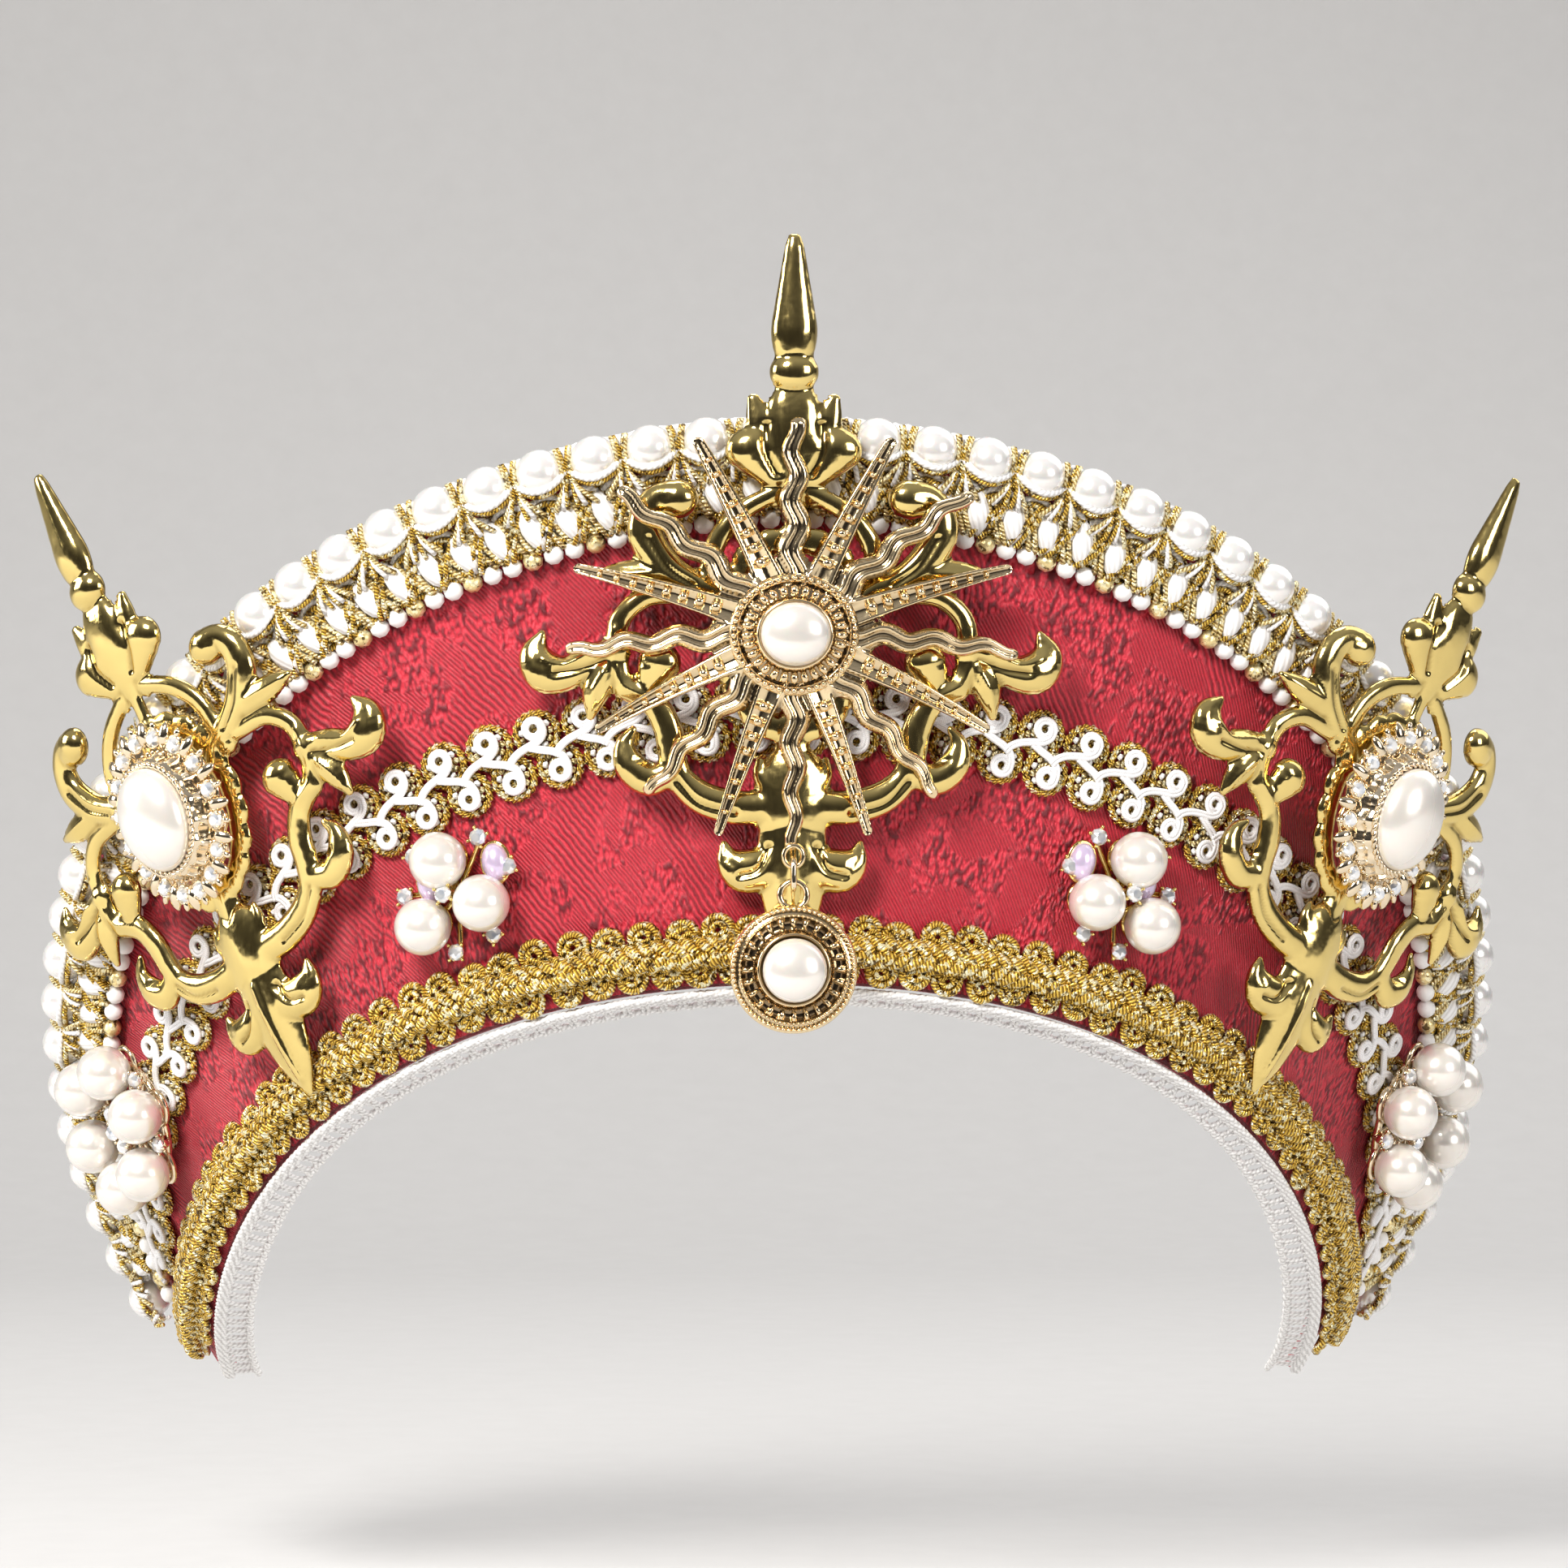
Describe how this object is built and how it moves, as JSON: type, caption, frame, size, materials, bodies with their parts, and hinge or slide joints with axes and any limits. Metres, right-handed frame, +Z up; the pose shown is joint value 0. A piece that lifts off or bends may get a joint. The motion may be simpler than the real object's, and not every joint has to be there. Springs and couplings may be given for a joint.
{
  "type": "embroidered kokoshnik crown hat",
  "caption": "Crescent brocade crown, open at the back, with pearl edging, braids, gilt stampings, brooches and a hanging drop.",
  "frame": {"origin": "centre of the leaning base line that rests on the head, between the temples", "axes": "+Z up as worn, -Y the way the wearer faces, +X to the wearer's left; the crown is symmetric about X = 0"},
  "size_m": [0.2162, 0.1053, 0.1648],
  "materials": {
    "brocade": "red figured satin brocade",
    "white_thread": "matt white cotton",
    "gold_thread": "metallic gold thread",
    "pearl": "cream pearl lustre",
    "gilt": "polished gilt",
    "rose_gilt": "antiqued rose gilt",
    "pale_gilt": "pale polished gilt"
  },
  "bodies": {
    "crown": {"crown_panel": "brocade", "lace_edging": "white_thread", "gold_braid": "gold_thread", "scroll_braid": "gold_thread", "trim_band": "white_thread", "top_piping": "white_thread", "pearl_string": "pearl", "filigree_centre": "gilt", "filigree_left": "gilt", "filigree_right": "gilt", "star_brooch": "rose_gilt", "star_pearl": "pearl", "brooch_left": "pale_gilt", "brooch_right": "pale_gilt", "brooch_pearl_left": "pearl", "brooch_pearl_right": "pearl", "cluster_left": "gilt", "cluster_pearl_left_1": "pearl", "cluster_pearl_left_2": "pearl", "cluster_pearl_left_3": "pearl", "cluster_right": "gilt", "cluster_pearl_right_1": "pearl", "cluster_pearl_right_2": "pearl", "cluster_pearl_right_3": "pearl", "rosette_left": "gilt", "rosette_pearl_left_1": "pearl", "rosette_pearl_left_2": "pearl", "rosette_pearl_left_3": "pearl", "rosette_pearl_left_4": "pearl", "rosette_pearl_left_5": "pearl", "rosette_pearl_left_6": "pearl", "rosette_right": "gilt", "rosette_pearl_right_1": "pearl", "rosette_pearl_right_2": "pearl", "rosette_pearl_right_3": "pearl", "rosette_pearl_right_4": "pearl", "rosette_pearl_right_5": "pearl", "rosette_pearl_right_6": "pearl"},
    "pendant": {"jump_ring": "pale_gilt", "pendant_disc": "rose_gilt", "pendant_pearl": "pearl"}
  },
  "joints": [
    {"name": "pendant_swing", "type": "hinge", "parent": "crown", "child": "pendant", "pos_m": [0, -0.08332, 0.06117], "axis": [-1, 0, 0], "range_deg": [-4, 60]}
  ]
}
